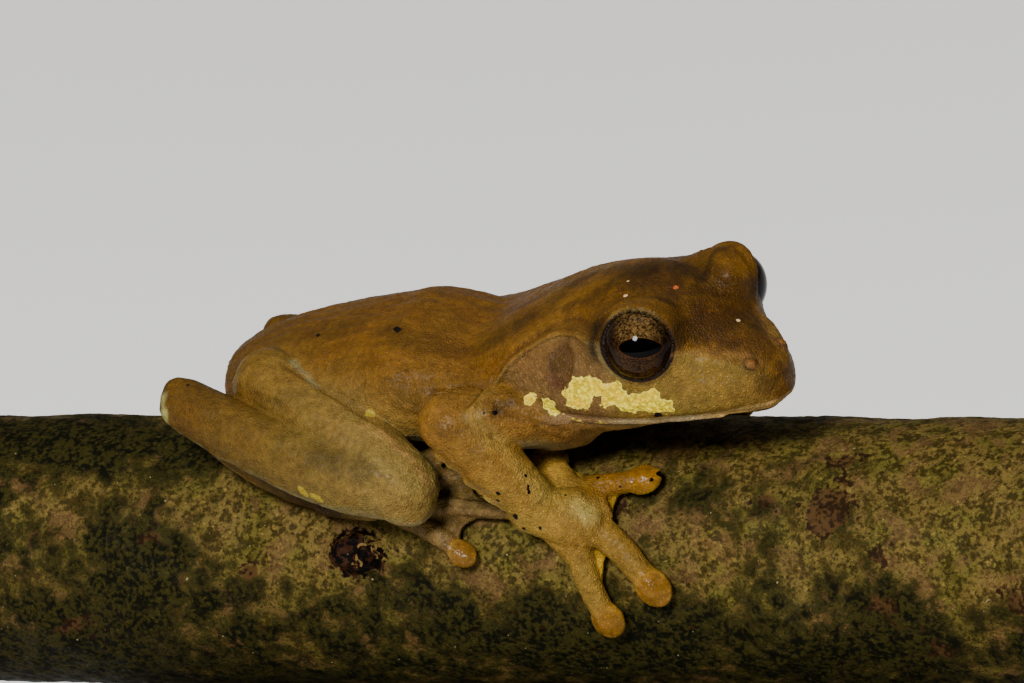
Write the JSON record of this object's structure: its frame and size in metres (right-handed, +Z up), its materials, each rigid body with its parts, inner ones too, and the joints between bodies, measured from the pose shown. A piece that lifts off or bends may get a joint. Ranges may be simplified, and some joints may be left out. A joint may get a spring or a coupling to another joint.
{
  "type": "tree frog on a perch",
  "caption": "Life-size tree frog gripping a short length of bark-covered branch, held level by a flat display stand with two short rods.",
  "frame": {"origin": "middle of the stand base's underside, at the centre of the whole part's footprint", "axes": "+X along the branch, the way the frog faces; +Y to the frog's left; +Z up"},
  "size_m": [0.096, 0.048, 0.0492],
  "materials": {
    "frog_head": "moist finely granular skin, dark olive brown above, ochre green at the sides of the snout, mauve grey at the ear, with a pale yellow patch under the eye",
    "frog_throat": "pale ochre, finely wrinkled throat skin",
    "frog_skin": "moist olive-ochre skin, finely granular, with a darker back",
    "frog_limb": "golden ochre skin of the arms, hands and feet, with amber webs and glossy finger discs",
    "frog_eye": "wet, glossy dark brown iris with a bronze upper part and a black horizontal pupil",
    "bark": "thin bark mottled with green algae and tan and brown lichen",
    "stand": "satin black display stand"
  },
  "bodies": {
    "root": {"head": "frog_head", "lower_jaw": "frog_throat", "torso": "frog_skin", "right_eye": "frog_eye", "left_eye": "frog_eye", "right_upper_arm": "frog_skin", "left_upper_arm": "frog_skin", "right_forearm": "frog_limb", "left_forearm": "frog_limb", "right_hand": "frog_limb", "left_hand": "frog_limb", "right_thigh": "frog_skin", "left_thigh": "frog_skin", "right_shank": "frog_skin", "left_shank": "frog_skin", "right_tarsus": "frog_skin", "left_tarsus": "frog_skin", "right_foot": "frog_limb", "left_foot": "frog_limb", "perch": "bark", "stand_base": "stand", "stand_rod_1": "stand", "stand_rod_2": "stand"}
  },
  "joints": []
}
